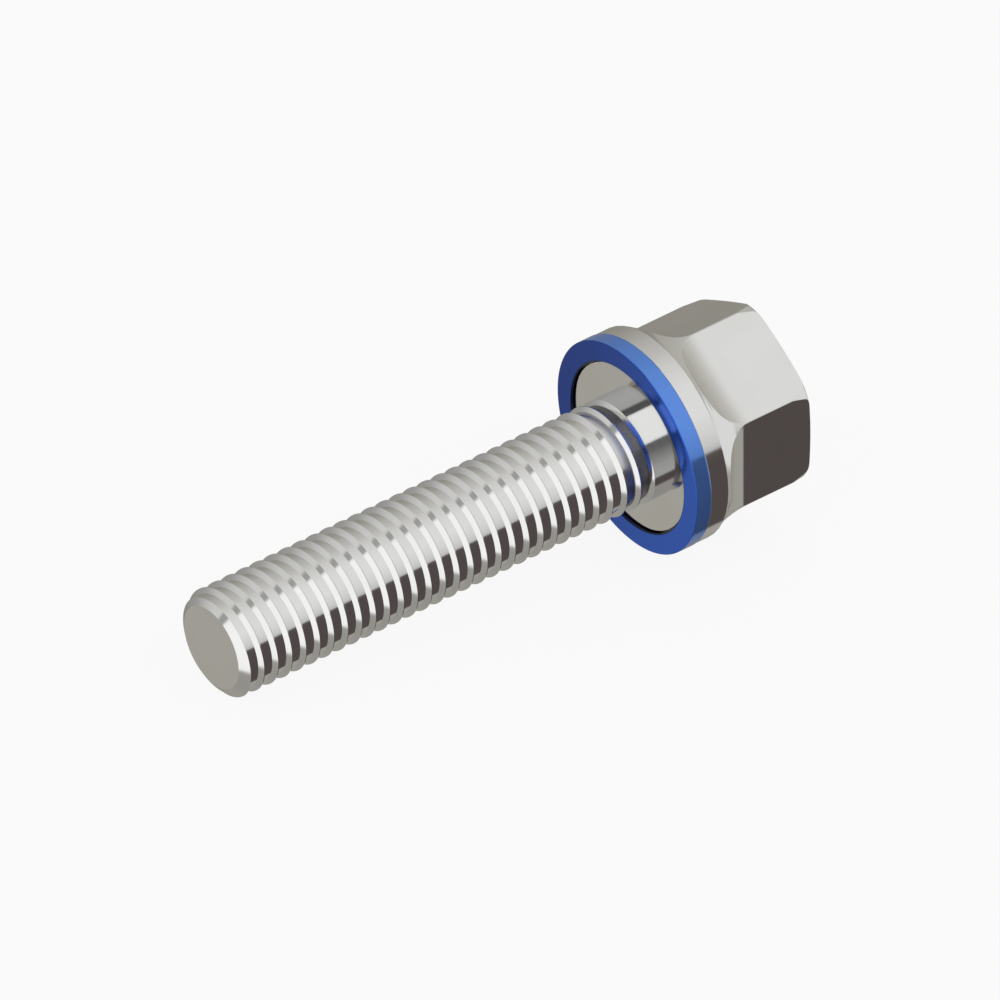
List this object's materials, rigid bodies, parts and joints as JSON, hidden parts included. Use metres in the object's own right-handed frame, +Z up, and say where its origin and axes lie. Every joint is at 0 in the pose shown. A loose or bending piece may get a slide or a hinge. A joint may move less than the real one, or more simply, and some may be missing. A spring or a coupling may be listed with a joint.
{
  "type": "hygienic sealing screw",
  "caption": "Hygienic hexagon head screw with a domed crown, a hollow neck, a round collar and a blue sealing ring under it.",
  "frame": {"origin": "centre of the bearing face, on the screw's axis", "axes": "+Z up as the screw lies at rest on its sealing ring and its thread; the screw's axis lies in the XZ plane, with the head towards +X and the head end slightly higher"},
  "size_m": [0.0594, 0.02, 0.0204],
  "materials": {
    "stainless_steel": "polished stainless steel, smooth turned and milled faces",
    "blue_elastomer": "smooth glossy blue elastomer"
  },
  "bodies": {
    "root": {"screw": "stainless_steel", "sealing_ring": "blue_elastomer"}
  },
  "joints": []
}
